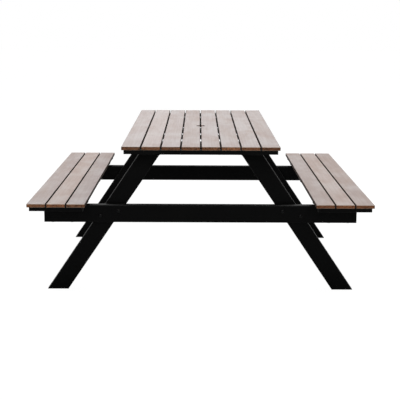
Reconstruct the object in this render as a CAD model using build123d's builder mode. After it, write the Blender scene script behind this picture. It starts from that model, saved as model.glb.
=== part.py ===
"""A-frame picnic table: slatted top and two slatted benches on a bolted steel frame.

Frame: +Z up, +Y along the slats, +X across the benches, origin on the ground at the middle of the table.
All sizes are in millimetres.
"""

import os
from math import cos, radians, tan

from build123d import *

# ---- Boards -------------------------------------------------------------------------------
SLAT_WIDTH = 88.0
SLAT_THICKNESS = 17.0
SLAT_LENGTH = 1800.0
SLAT_GAP = 6.0
SLAT_EDGE_RADIUS = 2.5
TOP_SLATS = 8
SEAT_SLATS = 3
TABLE_HEIGHT = 761.0
SEAT_HEIGHT = 487.0
SEAT_LEG_GAP = 93.0  # between a leg's outer edge and a bench, at the underside of the bench's boards

# ---- Frame of flat tubes under the boards ---------------------------------------------------
TUBE_WIDTH = 40.0
TUBE_HEIGHT = 20.0
TUBE_WALL = 2.0
TUBE_RADIUS = 2.5
END_INSET = 12.0  # from the ends of the boards to the end crossbars
SIDE_INSET = 10.0  # from the outer board edges to the ends of the crossbars
LEG_BAR_WIDTH = 80.0  # the crossbars over the legs
THIRD_BAR_Y = 288.0  # the crossbars between the legs and the middle
POLE_BAR_WIDTH = 100.0

# ---- A-frames: legs, top bars and seat beams ------------------------------------------------
LEG_ANGLE = 34.0  # from the vertical
LEG_HEAD_GAP = 6.2  # between a leg's head and the head of the nearest top bolt
LEG_WIDTH = 87.0
LEG_DEPTH = 50.0
LEG_WALL = 3.0
TOP_BAR_HEIGHT = 37.0
BEAM_HEIGHT = 88.0
BEAM_THICKNESS = 40.0
BEAM_END_INSET = 50.0  # from the benches' outer edges to the beams' ends
BEAM_WALL = 2.5
BEAM_SETBACK = 228.0  # from the ends of the boards to the beams' outer faces
SECTION_RADIUS = 5.0

# ---- Parasol hole ---------------------------------------------------------------------------
POLE_HOLE_RADIUS = 25.0
SLEEVE_WALL = 2.5

# ---- Packers, plugs and feet ----------------------------------------------------------------
PACKER_HEIGHT = 8.0
PACKER_LENGTH = 170.0
PLUG_DEPTH = 14.0
PLUG_HEAD = 2.5
PLUG_CLEARANCE = 0.2
PAD_RADIUS = 14.0
PAD_HEIGHT = 3.0
CAP_THICKNESS = 4.0
CAP_DEPTH = 22.0
STUD_RADIUS = 4.0
STUD_LENGTH = 30.0
STUD_CLEARANCE = 0.05

# ---- Fasteners ------------------------------------------------------------------------------
LEG_BOLT_RADIUS = 5.0
LEG_BOLT_HEAD_RADIUS = 10.0
LEG_BOLT_HEAD_HEIGHT = 5.5
LEG_BOLT_FROM_EDGE = 13.0  # across the leg, from its edge to the bolt
LEG_BOLT_RISE = 12.0  # above and below the beam's middle
LEG_NUT_FLATS = 17.0
LEG_NUT_HEIGHT = 9.0
FRAME_BOLT_RADIUS = 4.0
FRAME_BOLT_HEAD_RADIUS = 8.5
FRAME_BOLT_HEAD_HEIGHT = 2.6
WASHER_WALL = 4.5
WASHER_THICKNESS = 1.6
BOLT_CLEARANCE = 0.25
INSERT_RADIUS = 5.5
INSERT_LENGTH = 14.0
INSERT_CLEARANCE = 0.1
THREAD_CLEARANCE = 0.05
SCREW_RADIUS = 2.25
SCREW_GRIP = 11.0
SCREW_HEAD_RADIUS = 4.5
SCREW_HEAD_HEIGHT = 3.0
ACCESS_HOLE_RADIUS = 5.5

# ---- Places worked out from the sizes above -------------------------------------------------
SLAT_PITCH = SLAT_WIDTH + SLAT_GAP
TOP_WIDTH = TOP_SLATS * SLAT_PITCH - SLAT_GAP
SEAT_WIDTH = SEAT_SLATS * SLAT_PITCH - SLAT_GAP
TOP_TUBE_TOP = TABLE_HEIGHT - SLAT_THICKNESS
TOP_TUBE_BOTTOM = TOP_TUBE_TOP - TUBE_HEIGHT
SEAT_TUBE_TOP = SEAT_HEIGHT - SLAT_THICKNESS
SEAT_TUBE_BOTTOM = SEAT_TUBE_TOP - TUBE_HEIGHT
BEAM_TOP = SEAT_TUBE_BOTTOM - PACKER_HEIGHT
BEAM_BOTTOM = BEAM_TOP - BEAM_HEIGHT
BEAM_MIDDLE_Z = BEAM_TOP - BEAM_HEIGHT / 2
BEAM_Y = SLAT_LENGTH / 2 - BEAM_SETBACK - BEAM_THICKNESS / 2
LEG_Y = BEAM_Y - BEAM_THICKNESS / 2 - LEG_DEPTH / 2
LEG_TOP = TOP_TUBE_BOTTOM - TOP_BAR_HEIGHT
LEG_BOTTOM = PAD_HEIGHT + CAP_THICKNESS
LEG_HALF_X = LEG_WIDTH / 2 / cos(radians(LEG_ANGLE))
END_BAR_Y = SLAT_LENGTH / 2 - END_INSET - TUBE_WIDTH / 2
CROSSBAR_LENGTH = TOP_WIDTH - 2 * SIDE_INSET
SEAT_BAR_LENGTH = SEAT_WIDTH - 2 * SIDE_INSET
RAIL_X = CROSSBAR_LENGTH / 2 - TUBE_WIDTH / 2
RAIL_LENGTH = 2 * (END_BAR_Y - TUBE_WIDTH / 2)
INNER_BAR_LENGTH = CROSSBAR_LENGTH - 2 * TUBE_WIDTH
LEG_HEAD_X = 2 * SLAT_PITCH + FRAME_BOLT_HEAD_RADIUS + LEG_HEAD_GAP + LEG_HALF_X
TOP_BAR_LENGTH = 2 * (LEG_HEAD_X + LEG_HALF_X)
LEG_BAR_Y = LEG_Y + LEG_DEPTH / 2 - LEG_BAR_WIDTH / 2
SEAT_INNER_X = LEG_HEAD_X + (LEG_TOP - SEAT_TUBE_TOP) * tan(radians(LEG_ANGLE)) + LEG_HALF_X + SEAT_LEG_GAP
SEAT_MIDDLE_X = SEAT_INNER_X + SEAT_WIDTH / 2
BEAM_LENGTH = 2 * (SEAT_INNER_X + SEAT_WIDTH - BEAM_END_INSET)
TOP_SLAT_X = [(i - (TOP_SLATS - 1) / 2) * SLAT_PITCH for i in range(TOP_SLATS)]
SEAT_SLAT_X = [(i - (SEAT_SLATS - 1) / 2) * SLAT_PITCH for i in range(SEAT_SLATS)]
HALF_BAR_Y = [THIRD_BAR_Y, LEG_BAR_Y, END_BAR_Y]
TOP_BAR_Y = [-y for y in reversed(HALF_BAR_Y)] + [0.0] + HALF_BAR_Y
SEAT_BAR_Y = [-END_BAR_Y, -BEAM_Y, 0.0, BEAM_Y, END_BAR_Y]
SIDES = {"left": -1, "right": 1}
ENDS = {"front": -1, "rear": 1}
CORNERS = [(side, end) for end in ENDS.values() for side in SIDES.values()]


def leg_x(z):
    """Distance of a leg's centre line from the middle of the table, at height z."""
    return LEG_HEAD_X + (LEG_TOP - z) * tan(radians(LEG_ANGLE))


def foot_spots():
    """Where the four feet stand."""
    return [(side * leg_x(0), end * LEG_Y) for side, end in CORNERS]


def write(piece, name):
    """Labels a finished piece and writes it as one STEP file."""
    piece.label = name
    export_step(piece, f"parts/{name}.step")


def make_slat(x, top, screws, pole_hole=False):
    """One board lying along Y, with blind pilot holes under it where screws come up."""
    with BuildPart() as slat:
        with BuildSketch(Plane.XY.offset(top)):
            with Locations((x, 0)):
                Rectangle(SLAT_WIDTH, SLAT_LENGTH)
        extrude(amount=-SLAT_THICKNESS)
        fillet(slat.edges(), radius=SLAT_EDGE_RADIUS)
        with BuildSketch(Plane.XY.offset(top - SLAT_THICKNESS)):
            with Locations(*screws):
                Circle(SCREW_RADIUS + THREAD_CLEARANCE)
        extrude(amount=SCREW_GRIP + THREAD_CLEARANCE, mode=Mode.SUBTRACT)
        if pole_hole:
            with BuildSketch(Plane.XY.offset(top)):
                Circle(POLE_HOLE_RADIUS)
            extrude(amount=-SLAT_THICKNESS, mode=Mode.SUBTRACT)
    return slat.part


def make_tube(x, y, top, length, width, along_x, screws, inserts=()):
    """A flat rectangular tube. Screws seat inside its upper wall, reached through wider holes below."""
    size_x, size_y = (length, width) if along_x else (width, length)
    long_axis = Axis.X if along_x else Axis.Y
    middle = top - TUBE_HEIGHT / 2
    wall = TUBE_WALL
    with BuildPart() as tube:
        with Locations((x, y, middle)):
            Box(size_x, size_y, TUBE_HEIGHT)
        fillet(tube.edges().filter_by(long_axis), radius=TUBE_RADIUS)
        with Locations((x, y, middle)):
            if along_x:
                Box(size_x, size_y - 2 * wall, TUBE_HEIGHT - 2 * wall, mode=Mode.SUBTRACT)
            else:
                Box(size_x - 2 * wall, size_y, TUBE_HEIGHT - 2 * wall, mode=Mode.SUBTRACT)
        if screws:
            with Locations(*[(sx, sy, top) for sx, sy in screws]):
                Hole(SCREW_RADIUS + BOLT_CLEARANCE, depth=TUBE_HEIGHT / 2)
            with Locations(*[(sx, sy, top - TUBE_HEIGHT + wall / 2) for sx, sy in screws]):
                Cylinder(ACCESS_HOLE_RADIUS, 2 * wall, mode=Mode.SUBTRACT)
        if inserts:
            with Locations(*[(ix, iy, top - TUBE_HEIGHT + wall / 2) for ix, iy in inserts]):
                Cylinder(INSERT_RADIUS + INSERT_CLEARANCE, 2 * wall, mode=Mode.SUBTRACT)
    return tube.part


def make_pole_bar(screws):
    """The wide tube across the middle, with a sleeve welded in it for the parasol pole."""
    with BuildPart() as bar:
        with Locations((0, 0, TOP_TUBE_TOP - TUBE_HEIGHT / 2)):
            Box(INNER_BAR_LENGTH, POLE_BAR_WIDTH, TUBE_HEIGHT)
        fillet(bar.edges().filter_by(Axis.X), radius=TUBE_RADIUS)
        inner = (POLE_BAR_WIDTH - 2 * TUBE_WALL, TUBE_HEIGHT - 2 * TUBE_WALL)
        with Locations((0, 0, TOP_TUBE_TOP - TUBE_HEIGHT / 2)):
            Box(INNER_BAR_LENGTH, *inner, mode=Mode.SUBTRACT)
        with BuildSketch(Plane.XY.offset(TOP_TUBE_BOTTOM)):
            Circle(POLE_HOLE_RADIUS + SLEEVE_WALL)
        extrude(amount=TUBE_HEIGHT)
        with BuildSketch(Plane.XY.offset(TOP_TUBE_BOTTOM)):
            Circle(POLE_HOLE_RADIUS)
        extrude(amount=TUBE_HEIGHT, mode=Mode.SUBTRACT)
        with Locations(*[(x, y, TOP_TUBE_TOP) for x, y in screws]):
            Hole(SCREW_RADIUS + BOLT_CLEARANCE, depth=TUBE_HEIGHT / 2)
        with Locations(*[(x, y, TOP_TUBE_BOTTOM + TUBE_WALL / 2) for x, y in screws]):
            Cylinder(ACCESS_HOLE_RADIUS, 2 * TUBE_WALL, mode=Mode.SUBTRACT)
    return bar.part


def leg_outline(side, bottom, top, half_x):
    """Corners of a leg's slanting outline between two heights, half_x to each side of its centre line."""
    corners = [(bottom, -half_x), (bottom, half_x), (top, half_x), (top, -half_x)]
    return [(side * (leg_x(z) + dx), z) for z, dx in corners]


def leg_bolts(side):
    """The two bolts (X, Z) that hold a leg to its seat beam."""
    reach = LEG_HALF_X - LEG_BOLT_FROM_EDGE / cos(radians(LEG_ANGLE))
    upper, lower = BEAM_MIDDLE_Z + LEG_BOLT_RISE, BEAM_MIDDLE_Z - LEG_BOLT_RISE
    return [(side * (leg_x(upper) - reach), upper), (side * (leg_x(lower) + reach), lower)]


def across(y):
    """The upright plane across the table at y, with its local X along +X and its local Y along +Z."""
    return Plane(origin=(0, y, 0), x_dir=(1, 0, 0), z_dir=(0, -1, 0))


def make_leg(side, end):
    """One leg: a slanting rectangular tube, cut level at both ends."""
    inner_half = LEG_HALF_X - LEG_WALL / cos(radians(LEG_ANGLE))
    with BuildPart() as leg:
        with BuildSketch(across(end * LEG_Y)):
            Polygon(*leg_outline(side, LEG_BOTTOM, LEG_TOP, LEG_HALF_X), align=None)
        extrude(amount=LEG_DEPTH / 2, both=True)
        long_edges = [e for e in leg.edges() if e.length > LEG_TOP - LEG_BOTTOM]
        fillet(long_edges, radius=SECTION_RADIUS)
        with BuildSketch(across(end * LEG_Y)):
            Polygon(*leg_outline(side, LEG_BOTTOM, LEG_TOP, inner_half), align=None)
        extrude(amount=LEG_DEPTH / 2 - LEG_WALL, both=True, mode=Mode.SUBTRACT)
        with BuildSketch(across(end * LEG_Y)):
            with Locations(*leg_bolts(side)):
                Circle(LEG_BOLT_RADIUS + BOLT_CLEARANCE)
        extrude(amount=LEG_DEPTH, both=True, mode=Mode.SUBTRACT)
    return leg.part


def make_top_bar(end):
    """The bar across the heads of two legs, which the top's frame is bolted to."""
    middle = (0, end * LEG_Y, TOP_TUBE_BOTTOM - TOP_BAR_HEIGHT / 2)
    with BuildPart() as bar:
        with Locations(middle):
            Box(TOP_BAR_LENGTH - 2 * PLUG_HEAD, LEG_DEPTH, TOP_BAR_HEIGHT)
        fillet(bar.edges().filter_by(Axis.X), radius=TUBE_RADIUS)
        inner = (LEG_DEPTH - 2 * LEG_WALL, TOP_BAR_HEIGHT - 2 * LEG_WALL)
        with Locations(middle):
            Box(TOP_BAR_LENGTH, *inner, mode=Mode.SUBTRACT)
        with Locations(*[(x, y, TOP_TUBE_BOTTOM) for x, y in top_bolts(end)]):
            Hole(FRAME_BOLT_RADIUS + BOLT_CLEARANCE)
    return bar.part


def top_bolts(end):
    """Where the bolts go up through a top bar into the crossbar above it, under gaps between boards."""
    return [(side * n * SLAT_PITCH, end * LEG_Y) for side in SIDES.values() for n in (1, 2)]


def seat_bolt_xs(side):
    """Where the bolts go up through a beam into one bench, under the gaps between its boards."""
    return [side * SEAT_MIDDLE_X - SLAT_PITCH / 2, side * SEAT_MIDDLE_X + SLAT_PITCH / 2]


def make_beam(end):
    """The seat beam across the outside of an A-frame."""
    middle = (0, end * BEAM_Y, BEAM_MIDDLE_Z)
    seat_bolts = [x for side in SIDES.values() for x in seat_bolt_xs(side)]
    with BuildPart() as beam:
        with Locations(middle):
            Box(BEAM_LENGTH - 2 * PLUG_HEAD, BEAM_THICKNESS, BEAM_HEIGHT)
        fillet(beam.edges().filter_by(Axis.X), radius=SECTION_RADIUS)
        inner = (BEAM_THICKNESS - 2 * BEAM_WALL, BEAM_HEIGHT - 2 * BEAM_WALL)
        with Locations(middle):
            Box(BEAM_LENGTH, *inner, mode=Mode.SUBTRACT)
        with Locations(*[(x, end * BEAM_Y, BEAM_TOP) for x in seat_bolts]):
            Hole(FRAME_BOLT_RADIUS + BOLT_CLEARANCE)
        with BuildSketch(across(end * BEAM_Y)):
            with Locations(*[spot for side in SIDES.values() for spot in leg_bolts(side)]):
                Circle(LEG_BOLT_RADIUS + BOLT_CLEARANCE)
        extrude(amount=BEAM_THICKNESS, both=True, mode=Mode.SUBTRACT)
    return beam.part


def make_plugs(places, width, height, wall, radius):
    """Plastic plugs in the ends of tubes that run along X. A place is a tube's end (X, Y, Z) and side."""
    gap = wall + PLUG_CLEARANCE
    with BuildPart() as plugs:
        for (x, y, z), side in places:
            with Locations((x + side * PLUG_HEAD / 2, y, z)):
                Box(PLUG_HEAD, width, height)
            with Locations((x - side * PLUG_DEPTH / 2, y, z)):
                Box(PLUG_DEPTH, width - 2 * gap, height - 2 * gap)
        lengthwise = plugs.edges().filter_by(Axis.X)
        fillet([e for e in lengthwise if abs(e.length - PLUG_HEAD) < PLUG_CLEARANCE], radius=radius)
    return plugs.part


def make_packers():
    """The blocks between the seat beams and the benches' crossbars."""
    with BuildPart() as packers:
        with Locations(*[(s * SEAT_MIDDLE_X, e * BEAM_Y, BEAM_TOP + PACKER_HEIGHT / 2) for s, e in CORNERS]):
            Box(PACKER_LENGTH, BEAM_THICKNESS - 2 * SECTION_RADIUS, PACKER_HEIGHT)
        with Locations(*[(x, e * BEAM_Y, SEAT_TUBE_BOTTOM) for s, e in CORNERS for x in seat_bolt_xs(s)]):
            Hole(FRAME_BOLT_RADIUS + BOLT_CLEARANCE, depth=PACKER_HEIGHT)
    return packers.part


def make_foot_caps():
    """Plastic caps that close the legs' lower ends and hold the levelling feet's studs."""
    inner_half = LEG_HALF_X - (LEG_WALL + PLUG_CLEARANCE) / cos(radians(LEG_ANGLE))
    cap_top = LEG_BOTTOM + CAP_DEPTH
    with BuildPart() as caps:
        for side, end in CORNERS:
            with BuildSketch(across(end * LEG_Y)):
                Polygon(*leg_outline(side, PAD_HEIGHT, LEG_BOTTOM, LEG_HALF_X), align=None)
            extrude(amount=LEG_DEPTH / 2, both=True)
            with BuildSketch(across(end * LEG_Y)):
                Polygon(*leg_outline(side, LEG_BOTTOM, cap_top, inner_half), align=None)
            extrude(amount=LEG_DEPTH / 2 - LEG_WALL - PLUG_CLEARANCE, both=True)
        with BuildSketch(Plane.XY):
            with Locations(*foot_spots()):
                Circle(STUD_RADIUS + STUD_CLEARANCE)
        extrude(amount=PAD_HEIGHT + CAP_DEPTH + 2 * CAP_THICKNESS, mode=Mode.SUBTRACT)
    return caps.part


def make_feet():
    """Levelling feet: a round pad on a threaded stud under each leg."""
    with BuildPart() as feet:
        with BuildSketch(Plane.XY):
            with Locations(*foot_spots()):
                Circle(PAD_RADIUS)
        extrude(amount=PAD_HEIGHT)
        chamfer(feet.edges().group_by(Axis.Z)[0], length=PAD_HEIGHT / 4)
        with BuildSketch(Plane.XY.offset(PAD_HEIGHT)):
            with Locations(*foot_spots()):
                Circle(STUD_RADIUS)
        extrude(amount=STUD_LENGTH)
    return feet.part


def facing(end, y):
    """The upright plane at y whose normal points out of the table at that end."""
    return Plane(origin=(0, y, 0), x_dir=(-end, 0, 0), z_dir=(0, end, 0))


def make_leg_bolts():
    """Dome-headed bolts through the beams and legs, with their heads on the beams' outer faces."""
    length = BEAM_THICKNESS + LEG_DEPTH + WASHER_THICKNESS + LEG_NUT_HEIGHT
    with BuildPart() as bolts:
        for end in ENDS.values():
            face = facing(end, end * (BEAM_Y + BEAM_THICKNESS / 2))
            spots = [(-end * x, z) for side in SIDES.values() for x, z in leg_bolts(side)]
            with BuildSketch(face):
                with Locations(*spots):
                    Circle(LEG_BOLT_HEAD_RADIUS)
            extrude(amount=LEG_BOLT_HEAD_HEIGHT)
            rims = bolts.faces().sort_by(Axis.Y)[-4:] if end > 0 else bolts.faces().sort_by(Axis.Y)[:4]
            fillet(rims.edges(), radius=LEG_BOLT_HEAD_HEIGHT * 0.8)
            with BuildSketch(face):
                with Locations(*spots):
                    Circle(LEG_BOLT_RADIUS)
            extrude(amount=-length)
    return bolts.part


def make_leg_nuts():
    """Locking nuts on the inner faces of the legs."""
    with BuildPart() as nuts:
        for end in ENDS.values():
            inside = end * (LEG_Y - LEG_DEPTH / 2 - WASHER_THICKNESS)
            with BuildSketch(facing(-end, inside)):
                with Locations(*[(end * x, z) for side in SIDES.values() for x, z in leg_bolts(side)]):
                    RegularPolygon(LEG_NUT_FLATS / 2, 6, major_radius=False)
                    Circle(LEG_BOLT_RADIUS + THREAD_CLEARANCE, mode=Mode.SUBTRACT)
            extrude(amount=LEG_NUT_HEIGHT)
    return nuts.part


def make_leg_washers():
    """Plain washers under the locking nuts."""
    with BuildPart() as washers:
        for end in ENDS.values():
            with BuildSketch(facing(-end, end * (LEG_Y - LEG_DEPTH / 2))):
                with Locations(*[(end * x, z) for side in SIDES.values() for x, z in leg_bolts(side)]):
                    Circle(LEG_BOLT_RADIUS + BOLT_CLEARANCE + WASHER_WALL)
                    Circle(LEG_BOLT_RADIUS + BOLT_CLEARANCE, mode=Mode.SUBTRACT)
            extrude(amount=WASHER_THICKNESS)
    return washers.part


def make_frame_bolts(spots, head_z, grip):
    """Low dome-headed bolts pushed up from head_z, ending in threaded inserts."""
    with BuildPart() as bolts:
        with BuildSketch(Plane.XY.offset(head_z)):
            with Locations(*spots):
                Circle(FRAME_BOLT_HEAD_RADIUS)
        extrude(amount=-FRAME_BOLT_HEAD_HEIGHT)
        fillet(bolts.edges().group_by(Axis.Z)[0], radius=FRAME_BOLT_HEAD_HEIGHT * 0.8)
        with BuildSketch(Plane.XY.offset(head_z)):
            with Locations(*spots):
                Circle(FRAME_BOLT_RADIUS)
        extrude(amount=grip + INSERT_LENGTH)
    return bolts.part


def make_inserts(spots, bottom):
    """Threaded inserts set in the lower walls of the crossbars."""
    with BuildPart() as inserts:
        with BuildSketch(Plane.XY.offset(bottom)):
            with Locations(*spots):
                Circle(INSERT_RADIUS)
                Circle(FRAME_BOLT_RADIUS + THREAD_CLEARANCE, mode=Mode.SUBTRACT)
        extrude(amount=INSERT_LENGTH)
    return inserts.part


def make_screws(spots, tube_top):
    """Pan-head screws up through the upper walls of the tubes into the boards."""
    seat = tube_top - TUBE_WALL
    with BuildPart() as screws:
        with BuildSketch(Plane.XY.offset(seat - SCREW_HEAD_HEIGHT)):
            with Locations(*spots):
                Circle(SCREW_HEAD_RADIUS)
        extrude(amount=SCREW_HEAD_HEIGHT)
        with BuildSketch(Plane.XY.offset(seat)):
            with Locations(*spots):
                Circle(SCREW_RADIUS)
        extrude(amount=TUBE_WALL + SCREW_GRIP)
    return screws.part


def top_screw_spots():
    """Every screw under the top: one for each board on each crossbar, clear of the parasol hole."""
    spots = []
    for y in TOP_BAR_Y:
        for x in TOP_SLAT_X:
            if abs(x) == TOP_SLAT_X[-1] and abs(y) < END_BAR_Y:
                spots.append((RAIL_X if x > 0 else -RAIL_X, y))
            elif y != 0 or abs(x) > SLAT_PITCH:
                spots.append((x, y))
    return spots


def seat_screw_spots(side):
    """Every screw under one bench."""
    return [(side * SEAT_MIDDLE_X + x, y) for y in SEAT_BAR_Y for x in SEAT_SLAT_X]


def under_board(spots, x):
    """The screw spots that come up into the board at x."""
    return [s for s in spots if abs(s[0] - x) < SLAT_WIDTH / 2]


def on_bar(spots, y, reach):
    """The screw spots that fall on the crossbar at y, within reach of its middle."""
    return [s for s in spots if s[1] == y and abs(s[0]) < reach]


os.makedirs("parts", exist_ok=True)

# ---- Boards -------------------------------------------------------------------------------
top_spots = top_screw_spots()
for number, x in enumerate(TOP_SLAT_X, start=1):
    slat = make_slat(x, TABLE_HEIGHT, under_board(top_spots, x), abs(x) < SLAT_PITCH)
    write(slat, f"top_slat_{number}")
for side_name, side in SIDES.items():
    for number, offset in enumerate(SEAT_SLAT_X, start=1):
        x = side * SEAT_MIDDLE_X + offset
        slat = make_slat(x, SEAT_HEIGHT, under_board(seat_screw_spots(side), x))
        write(slat, f"{side_name}_seat_slat_{number}")

# ---- Frame under the top --------------------------------------------------------------------
top_bolt_spots = top_bolts(-1) + top_bolts(1)
half_names = ["third", "leg", "end"]
bar_names = [f"front_{n}" for n in reversed(half_names)] + ["pole"] + [f"rear_{n}" for n in half_names]
end_tube_length = CROSSBAR_LENGTH - 2 * PLUG_HEAD
for bar_name, y in zip(bar_names, TOP_BAR_Y):
    if abs(y) == END_BAR_Y:
        spots = on_bar(top_spots, y, CROSSBAR_LENGTH / 2)
        bar = make_tube(0, y, TOP_TUBE_TOP, end_tube_length, TUBE_WIDTH, True, spots)
    elif y == 0:
        bar = make_pole_bar(on_bar(top_spots, y, INNER_BAR_LENGTH / 2))
    else:
        spots = on_bar(top_spots, y, INNER_BAR_LENGTH / 2)
        over_leg = abs(y) == LEG_BAR_Y
        width = LEG_BAR_WIDTH if over_leg else TUBE_WIDTH
        inserts = top_bolts(1 if y > 0 else -1) if over_leg else ()
        bar = make_tube(0, y, TOP_TUBE_TOP, INNER_BAR_LENGTH, width, True, spots, inserts)
    write(bar, f"top_{bar_name}_crossbar")
for side_name, side in SIDES.items():
    rail_spots = [s for s in top_spots if s[0] == side * RAIL_X]
    rail = make_tube(side * RAIL_X, 0, TOP_TUBE_TOP, RAIL_LENGTH, TUBE_WIDTH, False, rail_spots)
    write(rail, f"top_{side_name}_rail")

# ---- Bench crossbars and packers ------------------------------------------------------------
seat_bar_names = ["front_end", "front_beam", "middle", "rear_beam", "rear_end"]
for side_name, side in SIDES.items():
    for bar_name, y in zip(seat_bar_names, SEAT_BAR_Y):
        spots = [s for s in seat_screw_spots(side) if s[1] == y]
        inserts = [(x, y) for x in seat_bolt_xs(side)] if abs(y) == BEAM_Y else ()
        length = SEAT_BAR_LENGTH - 2 * PLUG_HEAD
        bar = make_tube(side * SEAT_MIDDLE_X, y, SEAT_TUBE_TOP, length, TUBE_WIDTH, True, spots, inserts)
        write(bar, f"{side_name}_seat_{bar_name}_crossbar")
write(make_packers(), "seat_packers")

# ---- A-frames -------------------------------------------------------------------------------
for end_name, end in ENDS.items():
    write(make_top_bar(end), f"{end_name}_top_bar")
    write(make_beam(end), f"{end_name}_seat_beam")
    for side_name, side in SIDES.items():
        write(make_leg(side, end), f"{end_name}_{side_name}_leg")
write(make_foot_caps(), "foot_caps")
write(make_feet(), "levelling_feet")

# ---- Plugs ----------------------------------------------------------------------------------
beam_ends = [
    ((side * (BEAM_LENGTH / 2 - PLUG_HEAD), end * BEAM_Y, BEAM_MIDDLE_Z), side)
    for side, end in CORNERS
]
write(make_plugs(beam_ends, BEAM_THICKNESS, BEAM_HEIGHT, BEAM_WALL, SECTION_RADIUS), "beam_end_plugs")
bar_ends = [
    ((side * (TOP_BAR_LENGTH / 2 - PLUG_HEAD), end * LEG_Y, TOP_TUBE_BOTTOM - TOP_BAR_HEIGHT / 2), side)
    for side, end in CORNERS
]
write(make_plugs(bar_ends, LEG_DEPTH, TOP_BAR_HEIGHT, LEG_WALL, TUBE_RADIUS), "top_bar_end_plugs")
tube_ends = [
    ((side * end_tube_length / 2, end * END_BAR_Y, TOP_TUBE_TOP - TUBE_HEIGHT / 2), side)
    for side, end in CORNERS
]
for bench in SIDES.values():
    for y in SEAT_BAR_Y:
        for side in SIDES.values():
            x = bench * SEAT_MIDDLE_X + side * (SEAT_BAR_LENGTH / 2 - PLUG_HEAD)
            tube_ends.append(((x, y, SEAT_TUBE_TOP - TUBE_HEIGHT / 2), side))
write(make_plugs(tube_ends, TUBE_WIDTH, TUBE_HEIGHT, TUBE_WALL, TUBE_RADIUS), "crossbar_end_plugs")

# ---- Fasteners ------------------------------------------------------------------------------
write(make_leg_bolts(), "leg_bolts")
write(make_leg_nuts(), "leg_nuts")
write(make_leg_washers(), "leg_washers")
write(make_frame_bolts(top_bolt_spots, LEG_TOP, TOP_BAR_HEIGHT), "top_frame_bolts")
write(make_inserts(top_bolt_spots, TOP_TUBE_BOTTOM), "top_threaded_inserts")
seat_bolt_spots = [
    (x, end * BEAM_Y) for side in SIDES.values() for end in ENDS.values() for x in seat_bolt_xs(side)
]
write(make_frame_bolts(seat_bolt_spots, BEAM_BOTTOM, BEAM_HEIGHT + PACKER_HEIGHT), "seat_bolts")
write(make_inserts(seat_bolt_spots, SEAT_TUBE_BOTTOM), "seat_threaded_inserts")
write(make_screws(top_spots, TOP_TUBE_TOP), "top_slat_screws")
write(make_screws(seat_screw_spots(-1) + seat_screw_spots(1), SEAT_TUBE_TOP), "seat_slat_screws")
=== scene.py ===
"""Picnic table: finishes, weld beads, studio and camera for the packed frame.

Metres, with +Z up and +Y along the boards.
"""

import math

import bpy
import numpy as np
from bpy.props import FloatProperty, FloatVectorProperty, IntProperty, PointerProperty
from mathutils import Matrix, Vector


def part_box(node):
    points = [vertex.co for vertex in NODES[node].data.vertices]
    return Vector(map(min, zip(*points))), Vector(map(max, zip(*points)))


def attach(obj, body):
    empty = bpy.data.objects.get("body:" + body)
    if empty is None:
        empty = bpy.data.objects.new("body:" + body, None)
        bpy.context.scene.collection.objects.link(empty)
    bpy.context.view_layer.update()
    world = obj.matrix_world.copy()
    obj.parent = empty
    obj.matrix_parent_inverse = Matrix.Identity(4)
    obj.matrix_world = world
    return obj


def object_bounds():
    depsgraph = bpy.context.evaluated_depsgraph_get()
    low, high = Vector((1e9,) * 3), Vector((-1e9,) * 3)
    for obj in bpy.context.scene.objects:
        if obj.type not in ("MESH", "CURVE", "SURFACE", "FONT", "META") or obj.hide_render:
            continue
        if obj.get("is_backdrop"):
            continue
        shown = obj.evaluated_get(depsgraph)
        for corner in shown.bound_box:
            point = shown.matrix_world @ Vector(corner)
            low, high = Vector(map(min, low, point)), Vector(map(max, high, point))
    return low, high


bl_info = {
    "name": "Picnic Table",
    "version": (1, 0, 0),
    "blender": (4, 5, 0),
    "location": "View3D > Sidebar > Picnic Table",
    "description": "Finishes a bolted steel and board picnic table and lights it in a plain studio",
    "category": "Object",
}

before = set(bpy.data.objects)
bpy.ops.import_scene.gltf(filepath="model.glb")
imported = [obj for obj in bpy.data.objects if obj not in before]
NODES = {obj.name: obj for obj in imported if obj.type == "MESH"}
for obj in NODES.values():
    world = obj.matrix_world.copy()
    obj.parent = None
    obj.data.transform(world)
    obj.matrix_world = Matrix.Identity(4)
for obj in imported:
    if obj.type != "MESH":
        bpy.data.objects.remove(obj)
CAD_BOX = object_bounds()
FULL_TURN = 2 * math.pi


# ---- Settings -------------------------------------------------------------------------------


def colour(name, description, default):
    """A colour setting."""
    return FloatVectorProperty(
        name=name, description=description, default=default, subtype="COLOR", size=3, min=0.0, max=1.0
    )


def length(name, description, default):
    """A length setting, in metres."""
    return FloatProperty(name=name, description=description, default=default, unit="LENGTH", precision=4)


def share(name, description, default):
    """A setting from 0 to 1."""
    return FloatProperty(
        name=name, description=description, default=default, min=0.0, max=1.0, subtype="FACTOR"
    )


def angle(name, description, degrees):
    """An angle setting, whose default is given in degrees."""
    return FloatProperty(name=name, description=description, default=math.radians(degrees), unit="ROTATION")


def power(name, description, default):
    """A light's power, in watts."""
    return FloatProperty(name=name, description=description, default=default, min=0.0, unit="POWER")


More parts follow.
